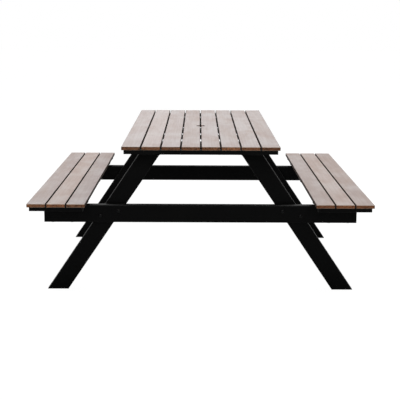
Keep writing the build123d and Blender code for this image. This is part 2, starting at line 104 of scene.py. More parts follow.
class PICNIC_PG_boards(bpy.types.PropertyGroup):
    """Finish of the weathered boards."""

    top_colour: colour("Top boards", "Weathered face of the table's boards", (0.460, 0.400, 0.385))
    bench_colour: colour("Bench boards", "Weathered face of the benches' boards", (0.400, 0.335, 0.318))
    streak_colour: colour("Grain streaks", "Darker streaks along the grain", (0.235, 0.175, 0.152))
    warm_colour: colour("Warm patches", "Browner patches where the weathering is thin", (0.370, 0.278, 0.236))
    end_colour: colour("Cut ends", "Freshly cut end grain", (0.380, 0.160, 0.072))
    end_dark: colour("Cut ends, dark", "Dark rings and stains of the end grain", (0.050, 0.021, 0.012))
    # Rounded edges: pale flecks in the end grain, and a painted highlight on the cut ends' rounded upper
    # edges.
    arris_highlight_and_fleck_colour: colour("Rounded edges", "Pale wood where the edges are rubbed", (0.500, 0.390, 0.300))
    # Board sides: painted shade, near-black on the sides and long rounded edges, where the narrow gaps
    # between boards lie in shade.
    side_shade_colour: colour("Board sides", "Unweathered sides and long edges", (0.045, 0.025, 0.017))
    streak_amount: share("Streak strength", "How strongly the streaks show", 0.12)
    grain_depth: length("Grain depth", "Depth of the open grain", 0.0004)
    roughness: share("Roughness", "Roughness of the weathered face", 0.55)


class PICNIC_PG_steel(bpy.types.PropertyGroup):
    """Finish of the powder-coated tubes."""

    coat_colour: colour("Powder coat", "Colour of the powder coat", (0.0018, 0.0018, 0.0019))
    # Rubbed edge: a painted highlight, a lighter coat along the tubes' rounded edges where light catches
    # them.
    edge_highlight_colour: colour("Rubbed edge", "Powder coat where an edge is rubbed", (0.012, 0.012, 0.0125))
    dust_colour: colour("Dust", "Dust on faces that look up", (0.030, 0.028, 0.026))
    roughness: share("Roughness", "Roughness of the powder coat", 0.34)
    texture_depth: length("Texture depth", "Depth of the coat's fine orange peel", 0.00006)


class PICNIC_PG_trim(bpy.types.PropertyGroup):
    """Finish of the plastic pieces and the fasteners."""

    plastic_colour: colour("Plastic", "Colour of caps, plugs, packers and feet", (0.0050, 0.0050, 0.0053))
    zinc_colour: colour("Zinc", "Colour of the plated fasteners", (0.520, 0.525, 0.540))
    rust_colour: colour("Rust", "Rust that starts round the fasteners", (0.150, 0.062, 0.028))
    black_bolt_colour: colour("Black bolts", "Colour of the dome-headed bolts", (0.010, 0.010, 0.0105))


class PICNIC_PG_welds(bpy.types.PropertyGroup):
    """Shape of the weld beads."""

    radius: length("Bead radius", "Radius of a weld bead", 0.0026)
    ripple: share("Ripple", "Height of the ripples, as a share of the radius", 0.16)
    pitch: length("Ripple pitch", "Distance from one ripple to the next", 0.0026)
    around: IntProperty(name="Steps around", description="Points around a bead", default=10, min=6, max=24)


class PICNIC_PG_studio(bpy.types.PropertyGroup):
    """Camera, lights and floor."""

    camera_x: length("Camera X", "Camera's place along X", -0.0123)
    camera_y: length("Camera Y", "Camera's place along Y", -5.7755)
    camera_z: length("Camera Z", "Camera's height", 1.4004)
    lens: FloatProperty(
        name="Lens", description="Focal length in millimetres", default=94.62, min=10.0, max=300.0
    )
    pitch: angle("Pitch", "Down from level", 10.355)
    yaw: angle("Yaw", "Towards +X", 0.108)
    roll: angle("Roll", "About the line of sight", 0.246)
    key_power: power("Top light", "Power of the overhead light", 150.0)
    fill_power: power("Fill light", "Power of the front light", 48.0)
    rim_power: power("Side lights", "Power of each side light", 60.0)
    floor_shade: share("Floor shadow", "How strongly shadows show on the floor", 0.10)
    floor_half: length("Floor", "Half the floor's width", 30.0)
    floor_glow: FloatProperty(
        name="Floor glow", description="How brightly the floor shows", default=1.08, min=0.0
    )
    overhead_glow: share("Overhead glow", "Light from the surround overhead", 0.48)
    far_glow: share("Far glow", "Light from the surround at the far side", 0.48)
    near_glow: share("Near glow", "Light from the surround at the near side", 0.024)


# ---- Node helpers ---------------------------------------------------------------------------


def join(tree, source, target):
    """Links an output to an input."""
    tree.links.new(source, target)


def maths(tree, operation, first, second=None, clamp=False):
    """A Math node fed by outputs or numbers. Returns its output."""
    node = tree.nodes.new("ShaderNodeMath")
    node.operation = operation
    node.use_clamp = clamp
    for index, value in enumerate((first, second)):
        if value is None:
            continue
        if isinstance(value, (int, float)):
            node.inputs[index].default_value = value
        else:
            join(tree, value, node.inputs[index])
    return node.outputs[0]


def times(tree, first, second):
    """The product of two outputs or numbers."""
    return maths(tree, "MULTIPLY", first, second)


def plus(tree, first, second, clamp=False):
    """The sum of two outputs or numbers."""
    return maths(tree, "ADD", first, second, clamp=clamp)


def blend_colour(tree, factor, first, second):
    """A colour Mix node fed by outputs or fixed colours. Returns its output."""
    node = tree.nodes.new("ShaderNodeMix")
    node.data_type = "RGBA"
    for index, value in ((0, factor), (6, first), (7, second)):
        if isinstance(value, (int, float)):
            node.inputs[index].default_value = value
        elif isinstance(value, tuple):
            node.inputs[index].default_value = (*value, 1.0)
        else:
            join(tree, value, node.inputs[index])
    return node.outputs[2]


def spread(tree, value, low, high, to_low=0.0, to_high=1.0):
    """A smooth Map Range node. Returns its output."""
    node = tree.nodes.new("ShaderNodeMapRange")
    node.interpolation_type = "SMOOTHSTEP"
    for index, number in ((1, low), (2, high), (3, to_low), (4, to_high)):
        node.inputs[index].default_value = number
    join(tree, value, node.inputs[0])
    return node.outputs[0]


def noise(tree, vector, scale, detail=4.0, roughness=0.55, distortion=0.0):
    """A Noise Texture node. Returns its factor output."""
    node = tree.nodes.new("ShaderNodeTexNoise")
    node.inputs["Scale"].default_value = scale
    node.inputs["Detail"].default_value = detail
    node.inputs["Roughness"].default_value = roughness
    node.inputs["Distortion"].default_value = distortion
    join(tree, vector, node.inputs["Vector"])
    return node.outputs[0]


def stretched(tree, vector, scale, shift=None):
    """A vector scaled along each axis, and moved by another output if one is given."""
    node = tree.nodes.new("ShaderNodeVectorMath")
    node.operation = "MULTIPLY_ADD"
    node.inputs[1].default_value = scale
    join(tree, vector, node.inputs[0])
    if shift is not None:
        join(tree, shift, node.inputs[2])
    return node.outputs[0]


def new_group(name, inputs, outputs):
    """An empty node group with those sockets. Returns its tree, input node and output node."""
    tree = bpy.data.node_groups.new(name, "ShaderNodeTree")
    kinds = {"c": "NodeSocketColor", "f": "NodeSocketFloat", "v": "NodeSocketVector"}
    for label, kind in inputs:
        tree.interface.new_socket(label, in_out="INPUT", socket_type=kinds[kind])
    for label, kind in outputs:
        tree.interface.new_socket(label, in_out="OUTPUT", socket_type=kinds[kind])
    return tree, tree.nodes.new("NodeGroupInput"), tree.nodes.new("NodeGroupOutput")


def placed_group(tree, group, **values):
    """The group placed in a material, with its inputs set."""
    node = tree.nodes.new("ShaderNodeGroup")
    node.node_tree = group
    for name, value in values.items():
        socket = node.inputs[name.replace("_", " ")]
        socket.default_value = (*value, 1.0) if isinstance(value, tuple) else value
    return node


def facing_parts(tree):
    """The absolute X, Y and Z parts of the surface normal."""
    place = tree.nodes.new("ShaderNodeTexCoord")
    parts = tree.nodes.new("ShaderNodeSeparateXYZ")
    join(tree, place.outputs["Normal"], parts.inputs[0])
    return [maths(tree, "ABSOLUTE", parts.outputs[i]) for i in range(3)], parts.outputs[2]


# ---- Shared effects -------------------------------------------------------------------------


PALE_BLOTCH = (0.60, 0.585, 0.58)
RED_BROWN = (0.33, 0.115, 0.052)


def board_group():
    """Weathered board: streaks along Y, blotches, red-brown cut ends, painted shade on the sides and long
    edges, and a painted highlight on the cut ends' upper edges.
    """
    if "board_weathering" in bpy.data.node_groups:
        return bpy.data.node_groups["board_weathering"]
    inputs = [(label, "c") for label in ("Face", "Streak", "Warm", "End", "End dark", "Arris", "Side")]
    inputs += [(label, "f") for label in ("Strength", "Seed", "Roughness")]
    outputs = [("Color", "c"), ("Roughness", "f"), ("Height", "f")]
    tree, given, out = new_group("board_weathering", inputs, outputs)
    place = tree.nodes.new("ShaderNodeTexCoord").outputs["Object"]
    seed = tree.nodes.new("ShaderNodeCombineXYZ")
    join(tree, given.outputs["Seed"], seed.inputs[0])
    join(tree, times(tree, given.outputs["Seed"], 1.7), seed.inputs[1])
    grain_place = stretched(tree, place, (1.0, 0.022, 1.0), seed.outputs[0])
    wide_place = stretched(tree, place, (1.0, 0.10, 1.0), seed.outputs[0])
    blotch_place = stretched(tree, place, (1.0, 0.55, 1.0), seed.outputs[0])
    fine = noise(tree, grain_place, 420.0, 6.0, 0.62)
    middle = noise(tree, grain_place, 120.0, 5.0, 0.55, 0.25)
    wide = noise(tree, wide_place, 26.0, 4.0, 0.5, 0.6)
    blotch = noise(tree, blotch_place, 6.5, 5.0, 0.6)
    streaks = plus(tree, times(tree, fine, 0.45), times(tree, middle, 0.55))
    dark = times(tree, spread(tree, streaks, 0.46, 0.64), given.outputs["Strength"])
    browner = spread(tree, wide, 0.42, 0.74, 0.0, 0.30)
    face = blend_colour(tree, browner, given.outputs["Face"], given.outputs["Warm"])
    face = blend_colour(tree, dark, face, given.outputs["Streak"])
    face = blend_colour(tree, spread(tree, blotch, 0.38, 0.66, 0.0, 0.34), face, PALE_BLOTCH)
    stain = noise(tree, stretched(tree, place, (1.0, 0.30, 1.0), seed.outputs[0]), 9.0, 4.0, 0.6, 0.8)
    face = blend_colour(tree, spread(tree, stain, 0.46, 0.72, 0.0, 0.50), face, given.outputs["Warm"])
    pores = times(tree, spread(tree, noise(tree, grain_place, 900.0, 2.0, 0.5), 0.60, 0.72), 0.22)
    face = blend_colour(tree, pores, face, given.outputs["Streak"])
    # Cut ends: flat rings bent by noise, with pale flecks and redder patches.
    ring_place = stretched(tree, place, (1.0, 0.0, 3.2), seed.outputs[0])
    rings = noise(tree, ring_place, 95.0, 4.0, 0.6, 1.2)
    flecks = noise(tree, stretched(tree, place, (1.0, 0.0, 2.0), seed.outputs[0]), 420.0, 3.0, 0.6)
    tint = noise(tree, stretched(tree, place, (1.0, 0.0, 1.0), seed.outputs[0]), 13.0, 2.0, 0.5)
    ring_mask = spread(tree, rings, 0.44, 0.60, 0.0, 0.88)
    end = blend_colour(tree, ring_mask, given.outputs["End"], given.outputs["End dark"])
    end = blend_colour(tree, spread(tree, flecks, 0.60, 0.74, 0.0, 0.35), end, given.outputs["Arris"])
    end = blend_colour(tree, spread(tree, tint, 0.45, 0.75, 0.0, 0.5), end, RED_BROWN)
    (nx, ny, nz), _up = facing_parts(tree)
    end_mask = spread(tree, ny, 0.78, 0.93)
    # Painted highlight: the rounded upper edge of each cut end is painted pale, as where light catches it,
    # broken up by noise.
    edge_mask = times(tree, spread(tree, nz, 0.15, 0.45), spread(tree, nz, 0.985, 0.90))
    arris_highlight_breakup = spread(tree, noise(tree, wide_place, 60.0, 3.0), 0.25, 0.6, 0.55, 1.0)
    arris_highlight = times(tree, edge_mask, arris_highlight_breakup)
    arris_highlight = times(tree, arris_highlight, spread(tree, ny, 0.10, 0.40))
    # Painted shade: the sides and long rounded edges are painted near-black, as the gaps between the boards
    # lie in shade.
    face = blend_colour(tree, spread(tree, nx, 0.10, 0.42), face, given.outputs["Side"])
    under = blend_colour(tree, end_mask, face, end)
    join(tree, blend_colour(tree, arris_highlight, under, given.outputs["Arris"]), out.inputs["Color"])
    rough = plus(tree, given.outputs["Roughness"], spread(tree, middle, 0.3, 0.7, -0.08, 0.12))
    rough = plus(tree, rough, times(tree, end_mask, 0.2), clamp=True)
    join(tree, rough, out.inputs["Roughness"])
    relief = plus(tree, times(tree, fine, 0.5), times(tree, middle, 0.5))
    flat = maths(tree, "SUBTRACT", 1.0, end_mask)
    relief = plus(tree, times(tree, relief, flat), times(tree, rings, end_mask))
    join(tree, relief, out.inputs["Height"])
    return tree


def edge_and_dust_group():
    """Masks of a tube's rounded edges, broken up by noise, and of dust on the faces that look up."""
    if "edge_and_dust_masks" in bpy.data.node_groups:
        return bpy.data.node_groups["edge_and_dust_masks"]
    inputs, outputs = [("Lengthwise", "f"), ("Scale", "f")], [("Edge", "f"), ("Dust", "f")]
    tree, given, out = new_group("edge_and_dust_masks", inputs, outputs)
    (nx, ny, nz), up = facing_parts(tree)
    side = maths(tree, "SQRT", plus(tree, maths(tree, "POWER", nx, 2.0), maths(tree, "POWER", nz, 2.0)))
    across = times(tree, spread(tree, ny, 0.15, 0.45), spread(tree, side, 0.15, 0.45))
    along = times(tree, spread(tree, nx, 0.15, 0.45), spread(tree, nz, 0.15, 0.45))
    picked = plus(tree, across, times(tree, along, given.outputs["Lengthwise"]), clamp=True)
    place = tree.nodes.new("ShaderNodeTexCoord").outputs["Object"]
    edge_breakup = tree.nodes.new("ShaderNodeTexNoise")
    edge_breakup.inputs["Detail"].default_value = 5.0
    join(tree, place, edge_breakup.inputs["Vector"])
    join(tree, given.outputs["Scale"], edge_breakup.inputs["Scale"])
    broken_edges = spread(tree, edge_breakup.outputs[0], 0.36, 0.66, 0.35, 1.0)
    join(tree, times(tree, picked, broken_edges), out.inputs["Edge"])
    settle = spread(tree, noise(tree, place, 14.0, 6.0, 0.65), 0.42, 0.68)
    join(tree, times(tree, spread(tree, up, 0.80, 0.98), settle), out.inputs["Dust"])
    return tree


def grain_group():
    """Fine texture, of a powder coat or of moulded plastic, as a height, and soft patches as a mask."""
    if "fine_texture" in bpy.data.node_groups:
        return bpy.data.node_groups["fine_texture"]
    tree, given, out = new_group("fine_texture", [("Scale", "f")], [("Height", "f"), ("Patches", "f")])
    place = tree.nodes.new("ShaderNodeTexCoord").outputs["Object"]
    peel = tree.nodes.new("ShaderNodeTexNoise")
    peel.inputs["Detail"].default_value = 2.0
    join(tree, place, peel.inputs["Vector"])
    join(tree, given.outputs["Scale"], peel.inputs["Scale"])
    join(tree, peel.outputs[0], out.inputs["Height"])
    join(tree, noise(tree, place, 9.0, 5.0, 0.6), out.inputs["Patches"])
    return tree


# ---- Materials ------------------------------------------------------------------------------


def new_material(name):
    """A material with its tree emptied. Returns it, its tree and its Principled BSDF."""
    material = bpy.data.materials.new(name)
    material.use_nodes = True
    tree = material.node_tree
    tree.nodes.clear()
    shader = tree.nodes.new("ShaderNodeBsdfPrincipled")
    out = tree.nodes.new("ShaderNodeOutputMaterial")
    join(tree, shader.outputs[0], out.inputs[0])
    return material, tree, shader


def add_bump(tree, shader, height, depth, strength=1.0):
    """Feeds the shader's normal from a height, with the relief's depth in metres."""
    bump = tree.nodes.new("ShaderNodeBump")
    bump.inputs["Strength"].default_value = strength
    bump.inputs["Distance"].default_value = depth
    join(tree, height, bump.inputs["Height"])
    join(tree, bump.outputs[0], shader.inputs["Normal"])


def board_material(name, face, settings, seed, end, end_dark, arris):
    """One board's finish, with its own seed and tints."""
    material, tree, shader = new_material(name)
    group = placed_group(
        tree,
        board_group(),
        Face=face,
        Streak=tuple(settings.streak_colour),
        Warm=tuple(settings.warm_colour),
        End=end,
        End_dark=end_dark,
        Arris=arris,
        Side=tuple(settings.side_shade_colour),
        Strength=settings.streak_amount,
        Seed=seed,
        Roughness=settings.roughness,
    )
    join(tree, group.outputs["Color"], shader.inputs["Base Color"])
    join(tree, group.outputs["Roughness"], shader.inputs["Roughness"])
    shader.inputs["Specular IOR Level"].default_value = 0.45
    add_bump(tree, shader, group.outputs["Height"], settings.grain_depth, 0.8)
    return material


def coat_material(name, settings, lengthwise):
    """Black powder coat with orange peel, a painted highlight along the rounded edges, and a little dust."""
    material, tree, shader = new_material(name)
    edges_and_dust = placed_group(tree, edge_and_dust_group(), Lengthwise=lengthwise, Scale=55.0)
    texture = placed_group(tree, grain_group(), Scale=900.0)
    base = tuple(settings.coat_colour)
    coat = blend_colour(tree, texture.outputs["Patches"], base, tuple(c * 1.5 for c in base))
    # Painted highlight: the rounded edges of the tubes are painted lighter, as where light catches them,
    # broken up by noise.
    coat = blend_colour(tree, edges_and_dust.outputs["Edge"], coat, tuple(settings.edge_highlight_colour))
    dust = times(tree, edges_and_dust.outputs["Dust"], 0.20)
    dusty = blend_colour(tree, dust, coat, tuple(settings.dust_colour))
    join(tree, dusty, shader.inputs["Base Color"])
    smooth, coarse = settings.roughness - 0.05, settings.roughness + 0.08
    rough = spread(tree, texture.outputs["Patches"], 0.3, 0.7, smooth, coarse)
    rough = plus(tree, rough, times(tree, edges_and_dust.outputs["Dust"], 0.2))
    join(tree, rough, shader.inputs["Roughness"])
    shader.inputs["Specular IOR Level"].default_value = 0.15
    add_bump(tree, shader, texture.outputs["Height"], settings.texture_depth, 0.6)
    return material


def plastic_material(name, settings):
    """Moulded plastic with a fine grain and paler scuffed edges."""
    material, tree, shader = new_material(name)
    edges_and_dust = placed_group(tree, edge_and_dust_group(), Lengthwise=1.0, Scale=120.0)
    texture = placed_group(tree, grain_group(), Scale=1500.0)
    base = tuple(settings.plastic_colour)
    body = blend_colour(tree, texture.outputs["Patches"], base, tuple(c * 1.8 for c in base))
    body = blend_colour(tree, times(tree, edges_and_dust.outputs["Edge"], 0.5), body, (0.03, 0.03, 0.03))
    join(tree, body, shader.inputs["Base Color"])
    join(tree, spread(tree, texture.outputs["Patches"], 0.3, 0.7, 0.48, 0.62), shader.inputs["Roughness"])
    shader.inputs["Specular IOR Level"].default_value = 0.45
    add_bump(tree, shader, texture.outputs["Height"], 0.00008, 0.7)
    return material


def fastener_material(name, settings, base, metallic, roughness, rust):
    """Plated or blackened steel: spangled patches, fine scratches, and rust starting here and there."""
    material, tree, shader = new_material(name)
    place = tree.nodes.new("ShaderNodeTexCoord").outputs["Object"]
    spangle = tree.nodes.new("ShaderNodeTexVoronoi")
    spangle.inputs["Scale"].default_value = 260.0
    join(tree, place, spangle.inputs["Vector"])
    texture = placed_group(tree, grain_group(), Scale=2200.0)
    tone = spread(tree, spangle.outputs["Color"], 0.2, 0.8)
    metal = blend_colour(tree, tone, base, tuple(c * 0.72 for c in base))
    spots = spread(tree, noise(tree, place, 75.0, 5.0, 0.65), 0.60, 0.74, 0.0, rust)
    join(tree, blend_colour(tree, spots, metal, tuple(settings.rust_colour)), shader.inputs["Base Color"])
    bare = maths(tree, "SUBTRACT", 1.0, spots)
    join(tree, times(tree, bare, metallic), shader.inputs["Metallic"])
    rough = plus(tree, times(tree, tone, 0.14), roughness)
    rough = plus(tree, rough, times(tree, spots, 0.4), clamp=True)
    join(tree, rough, shader.inputs["Roughness"])
    add_bump(tree, shader, texture.outputs["Height"], 0.00004, 0.5)
    return material


def give(names, material):
    """Gives the material to CAD nodes. Their meshes stay as they are."""
    for name in names:
        node = NODES[name]
        if not node.material_slots:
            node.data.materials.append(material)
        for place in node.material_slots:
            place.material = material


def tinted(base, row, amount):
    """A colour made lighter or darker, and warmer or cooler, by a fixed table row."""
    light, warm = row
    return (
        min(1.0, base[0] * (1 + amount * (light + warm))),
        min(1.0, base[1] * (1 + amount * light)),
        min(1.0, base[2] * (1 + amount * (light - warm))),
    )


# ---- Weld beads -----------------------------------------------------------------------------


def bead_surface(start, end, radius, ripple, pitch, around):
    """Points and faces of one bead.

    The bead is a round tube from start to end. Its radius is the given one times
    1 + ripple * |sin(pi * s / pitch)| at distance s along it, and it falls to nothing as
    sqrt(1 - t^2) over the last radius at each end, where t runs from 0 to 1.
    """
    start, end = np.asarray(start, float), np.asarray(end, float)
    span = np.linalg.norm(end - start)
    along = (end - start) / span
    steps = max(8, int(round(span / pitch * 4)))
    s = np.linspace(0.0, span, steps + 1)
    near_end = np.clip(1 - np.minimum(s, span - s) / radius, 0.0, 0.995)
    size = radius * (1 + ripple * np.abs(np.sin(np.pi * s / pitch))) * np.sqrt(1 - near_end**2)
    other = np.array((0.0, 0.0, 1.0)) if abs(along[2]) < 0.9 else np.array((1.0, 0.0, 0.0))
    u = np.cross(other, along)
    u /= np.linalg.norm(u)
    v = np.cross(along, u)
    turn = np.arange(around) * FULL_TURN / around
    ring = np.cos(turn)[:, None] * u + np.sin(turn)[:, None] * v
    points = start + s[:, None, None] * along + size[:, None, None] * ring
    return close_tube(points.reshape(-1, 3), steps + 1, around)


def ring_surface(centre, ring_radius, radius, ripple, pitch, around):
    """Points and faces of a bead round a tube.

    The bead is a torus. At angle a round it, its small radius is the given one times
    1 + ripple * |sin(a * count / 8)|, where count is the number of steps round the ring.
    """
    count = int(round(FULL_TURN * ring_radius / pitch)) * 4
    a = np.arange(count) * FULL_TURN / count
    b = np.arange(around) * FULL_TURN / around
    size = radius * (1 + ripple * np.abs(np.sin(a * count / 8)))[:, None]
    reach = ring_radius + size * np.cos(b)
    x, y, z = reach * np.cos(a)[:, None], reach * np.sin(a)[:, None], size * np.sin(b) + 0 * a[:, None]
    points = np.stack((x, y, z), axis=-1) + np.asarray(centre, float)
    i, j = np.meshgrid(np.arange(count), np.arange(around), indexing="ij")
    here, there = i * around + j, ((i + 1) % count) * around + j
    here_next, there_next = i * around + (j + 1) % around, ((i + 1) % count) * around + (j + 1) % around
    faces = np.stack((here, there, there_next, here_next), axis=-1).reshape(-1, 4)
    return points.reshape(-1, 3), faces.tolist()


def close_tube(points, rings, around):
    """Faces for rings of points one after the other, with a flat many-sided face at each end."""
    i, j = np.meshgrid(np.arange(rings - 1), np.arange(around), indexing="ij")
    here, after = i * around + j, i * around + (j + 1) % around
    faces = np.stack((here, after, after + around, here + around), axis=-1).reshape(-1, 4).tolist()
    faces.append(list(range(around))[::-1])
    faces.append(list(range((rings - 1) * around, rings * around)))
    return points, faces


def merged(surfaces):
    """Several (points, faces) as one."""
    points, faces, offset = [], [], 0
    for some_points, some_faces in surfaces:
        points.append(some_points)
        faces += [[index + offset for index in face] for face in some_faces]
        offset += len(some_points)
    return np.concatenate(points), faces


def new_piece(name, points, faces, material, slot):
    """A smooth mesh object at the origin that rides on the frame."""
    mesh = bpy.data.meshes.new(name)
    mesh.from_pydata(points, [], faces)
    mesh.polygons.foreach_set("use_smooth", np.ones(len(mesh.polygons), dtype=bool))
    mesh.materials.append(material)
    mesh.validate()
    piece = bpy.data.objects.new(name, mesh)
    bpy.context.scene.collection.objects.link(piece)
    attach(piece, "root")
    return piece


SEAM_INSET = 0.003  # how far a bead stops short of a tube's edge
SLEEVE_RADIUS = 0.0275


def leg_head_seams():
    """Lines where each leg's head meets its top bar: across its inner side, and along its two faces."""
    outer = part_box("top_bar_end_plugs")[1][0]
    lines = []
    for end in ("front", "rear"):
        bar_low, _bar_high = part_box(f"{end}_top_bar")
        z = bar_low[2]
        for side, sign in (("left", -1), ("right", 1)):
            low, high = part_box(f"{end}_{side}_leg")
            inner = min(abs(low[0]), abs(high[0]))
            lines.append(((sign * inner, low[1] + 0.004, z), (sign * inner, high[1] - 0.004, z)))
            for y in (low[1], high[1]):
                lines.append(((sign * (inner + 0.002), y, z), (sign * (outer - 0.006), y, z)))
    return lines


INNER_BARS = ["pole", *(f"{end}_{place}" for end in ("front", "rear") for place in ("leg", "third"))]


def crossbar_seams():
    """Lines where the top's crossbars meet the side rails, and where the rails meet the end crossbars."""
    lines = []
    for rail in ("top_left_rail", "top_right_rail"):
        low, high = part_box(rail)
        x = high[0] if high[0] < 0 else low[0]
        for name in INNER_BARS:
            bar_low, bar_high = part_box(f"top_{name}_crossbar")
            z = bar_low[2]
            lines.append(((x, bar_low[1] + SEAM_INSET, z), (x, bar_high[1] - SEAM_INSET, z)))
            for y in (bar_low[1], bar_high[1]):
                lines.append(((x, y, z + 0.002), (x, y, bar_high[2] - SEAM_INSET)))
        for name, y in (("front_end", low[1]), ("rear_end", high[1])):
            bar_low, bar_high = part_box(f"top_{name}_crossbar")
            lines.append(((low[0] + SEAM_INSET, y, bar_low[2]), (high[0] - SEAM_INSET, y, bar_low[2])))
            lines.append(((x, y, bar_low[2] + 0.002), (x, y, bar_high[2] - SEAM_INSET)))
    return lines


# ---- Operators ------------------------------------------------------------------------------

# Lighter or darker, then warmer or cooler, for each board from left to right.
TOP_TINTS = [
    (0.08, -0.01),
    (0.11, 0.0),
    (0.05, -0.01),
    (0.0, 0.0),
    (0.04, -0.02),
    (-0.03, 0.0),
    (-0.02, 0.0),
    (-0.04, 0.0),
]
BENCH_TINTS = [(0.03, 0.0), (0.06, 0.05), (-0.04, -0.01), (-0.05, 0.02), (0.04, 0.05), (-0.07, 0.03)]
# How bright each top board's cut end is, and how pale the painted highlight on its upper edge.
TOP_ENDS = [1.0, 1.25, 1.05, 1.25, 1.35, 1.95, 1.35, 0.85]
TOP_ARRIS_HIGHLIGHTS = [0.60] * 6 + [0.90] * 2
BENCH_END = 1.4
# Each board's pattern starts elsewhere.
TOP_SEED_STEP = 3.1
BENCH_SEED = 41.0
BENCH_SEED_STEP = 2.3


class PICNIC_OT_top_boards(bpy.types.Operator):
    """Finish the eight boards of the table's top"""

    bl_idname = "picnic.top_boards"
    bl_label = "Top boards"

    def execute(self, context):
        settings = context.scene.picnic_boards
        dark = tuple(settings.end_dark)
        for number, (row, end, arris) in enumerate(zip(TOP_TINTS, TOP_ENDS, TOP_ARRIS_HIGHLIGHTS), start=1):
            face = tinted(settings.top_colour, row, 1.0)
            cut = tuple(min(1.0, c * end) for c in settings.end_colour)
            pale = tuple(c * arris for c in settings.arris_highlight_and_fleck_colour)
            name = f"top_board_{number}_wood"
            made = board_material(name, face, settings, TOP_SEED_STEP * number, cut, dark, pale)
            give([f"top_slat_{number}"], made)
        return {"FINISHED"}


class PICNIC_OT_bench_boards(bpy.types.Operator):
    """Finish the three boards of each bench"""

    bl_idname = "picnic.bench_boards"
    bl_label = "Bench boards"

    def execute(self, context):
        settings = context.scene.picnic_boards
        dark, pale = tuple(settings.end_dark), tuple(settings.arris_highlight_and_fleck_colour)
        for index, row in enumerate(BENCH_TINTS):
            side, number = ("left", "right")[index // 3], index % 3 + 1
            face = tinted(settings.bench_colour, row, 1.0)
            cut = tinted(tuple(c * BENCH_END for c in settings.end_colour), row, 2.0)
            name = f"{side}_bench_board_{number}_wood"
            made = board_material(name, face, settings, BENCH_SEED + BENCH_SEED_STEP * index, cut, dark, pale)
            give([f"{side}_seat_slat_{number}"], made)
        return {"FINISHED"}


class PICNIC_OT_steel_frame(bpy.types.Operator):
    """Powder-coat the legs, beams, bars and rails"""

    bl_idname = "picnic.steel_frame"
    bl_label = "Steel frame"

    def execute(self, context):
        settings = context.scene.picnic_steel
        coat = coat_material("black_powder_coat", settings, 0.0)
        rail_coat = coat_material("black_powder_coat_rails", settings, 1.0)
        rails = ["top_left_rail", "top_right_rail"]
        bars = [n for n in NODES if n.endswith(("_leg", "_beam", "_bar", "_crossbar"))]
        give(bars, coat)
        give(rails, rail_coat)
        return {"FINISHED"}


class PICNIC_OT_plastic_trim(bpy.types.Operator):
    """Finish the plugs, caps, packers and feet"""

    bl_idname = "picnic.plastic_trim"
    bl_label = "Plastic trim"

    def execute(self, context):
        plastic = plastic_material("black_moulded_plastic", context.scene.picnic_trim)
        plugs = [n for n in NODES if n.endswith("_plugs")]
        give([*plugs, "foot_caps", "seat_packers", "levelling_feet"], plastic)
        return {"FINISHED"}


class PICNIC_OT_fasteners(bpy.types.Operator):
    """Plate the screws, bolts, nuts and washers"""

    bl_idname = "picnic.fasteners"
    bl_label = "Fasteners"

    def execute(self, context):
        settings = context.scene.picnic_trim
        plated, blackened = tuple(settings.zinc_colour), tuple(settings.black_bolt_colour)
        zinc = fastener_material("zinc_plating", settings, plated, 1.0, 0.30, 0.7)
        black = fastener_material("blackened_bolt", settings, blackened, 0.6, 0.14, 0.25)
        give([n for n in NODES if n.endswith(("_screws", "_inserts"))], zinc)
        give([n for n in NODES if n.endswith(("_bolts", "_nuts", "_washers"))], black)
        return {"FINISHED"}


class PICNIC_OT_weld_beads(bpy.types.Operator):
    """Lay rippled weld beads where the tubes meet"""

    bl_idname = "picnic.weld_beads"
    bl_label = "Weld beads"

    def execute(self, context):
        shape = context.scene.picnic_welds
        coat = coat_material("black_powder_coat_welds", context.scene.picnic_steel, 0.0)
        size = (shape.radius, shape.ripple, shape.pitch, shape.around)
        heads = [bead_surface(a, b, *size) for a, b in leg_head_seams()]
        new_piece("leg_head_welds", *merged(heads), coat, "powder_coated_steel")
        bars = [bead_surface(a, b, *size) for a, b in crossbar_seams()]
        low, _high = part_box("top_pole_crossbar")
        bars.append(ring_surface((0.0, 0.0, low[2]), SLEEVE_RADIUS, *size))
        new_piece("top_frame_welds", *merged(bars), coat, "powder_coated_steel")
        return {"FINISHED"}


class PICNIC_OT_stage(bpy.types.Operator):
    """Set up the floor, the soft lights and the camera"""

    bl_idname = "picnic.stage"
    bl_label = "Studio"

    def execute(self, context):
        settings = context.scene.picnic_studio
        make_floor(context.scene, settings)
        make_world(context.scene, settings)
        for spec in light_list(settings):
            make_light(context.scene, *spec)
        make_camera(context.scene, settings)
        context.scene.view_settings.view_transform = "Standard"
        return {"FINISHED"}


# ---- Studio ---------------------------------------------------------------------------------


